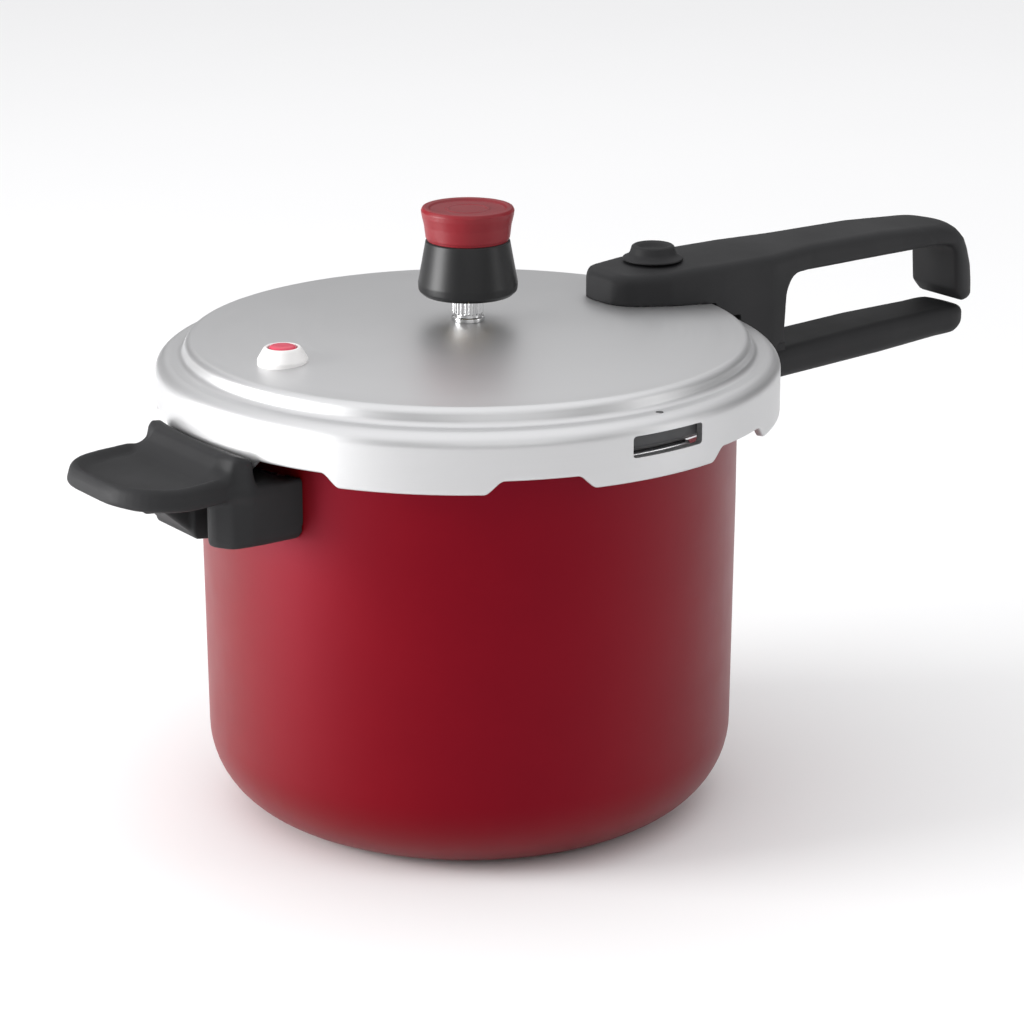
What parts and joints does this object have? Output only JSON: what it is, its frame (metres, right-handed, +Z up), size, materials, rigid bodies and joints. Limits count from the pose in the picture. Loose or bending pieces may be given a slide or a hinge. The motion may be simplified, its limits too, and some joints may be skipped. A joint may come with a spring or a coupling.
{
  "type": "stovetop pressure cooker",
  "caption": "Stovetop pressure cooker: deep lacquered pot with long and helper handles, turning bayonet lid with lock slide, regulator weight, pressure indicator and sealing ring.",
  "frame": {"origin": "centre of the pot's flat base, on the surface it stands on", "axes": "+Z up along the pot's axis, +X towards the outer end of the two long handles, helper handle at -X"},
  "size_m": [0.423, 0.238, 0.2338],
  "materials": {
    "pot_lacquer": "satin lacquer",
    "lid_aluminium": "satin",
    "rivet_aluminium": "bright",
    "steel": "plain",
    "polished_steel": "knurled",
    "brass": "turned",
    "handle_black": "moulded",
    "weight_black": "satin",
    "cap_red": "satin",
    "button_red": "gloss",
    "white_plastic": "satin",
    "black_rubber": "matte",
    "gasket_rubber": "silicone"
  },
  "bodies": {
    "pot": {"pot_body": "pot_lacquer", "pot_handle_bracket": "steel", "pot_handle_rivets": "rivet_aluminium", "pot_handle": "handle_black", "pot_handle_screws": "steel", "helper_bracket": "steel", "helper_rivets": "rivet_aluminium", "helper_handle": "handle_black", "helper_screws": "steel"},
    "gasket_ring": {"gasket": "gasket_rubber"},
    "lid": {"lid_shell": "lid_aluminium", "lid_bracket": "steel", "lid_rivets": "rivet_aluminium", "lid_handle": "handle_black", "lid_underplate": "handle_black", "lid_handle_screws": "steel", "underplate_screws": "steel", "detent_spring": "steel", "vent_pipe": "brass", "vent_collar_nut": "polished_steel", "vent_washer": "black_rubber", "vent_hex_nut": "steel", "valve_grommet": "black_rubber", "valve_collar": "white_plastic"},
    "lock": {"lock_button": "handle_black", "lock_bar": "steel", "lock_button_screw": "steel"},
    "weight": {"weight_shell": "weight_black", "weight_cap": "cap_red", "weight_core": "brass"},
    "float": {"float_pin": "brass", "float_button": "button_red", "float_clip": "steel"}
  },
  "joints": [
    {"name": "lid_lift", "type": "slide", "parent": "pot", "child": "gasket_ring", "axis": [0, 0, 1], "range_m": [0, 0.12]},
    {"name": "lid_turn", "type": "hinge", "parent": "gasket_ring", "child": "lid", "pos_m": [0, 0, 0.17], "axis": [0, 0, 1], "range_deg": [0, 22.5]},
    {"name": "lock_slide", "type": "slide", "parent": "lid", "child": "lock", "axis": [1, 0, 0], "range_m": [0, 0.006]},
    {"name": "weight_lift", "type": "slide", "parent": "lid", "child": "weight", "axis": [0, 0, 1], "range_m": [0, 0.04]},
    {"name": "float_rise", "type": "slide", "parent": "lid", "child": "float", "axis": [0, 0, 1], "range_m": [0, 0.004]}
  ]
}
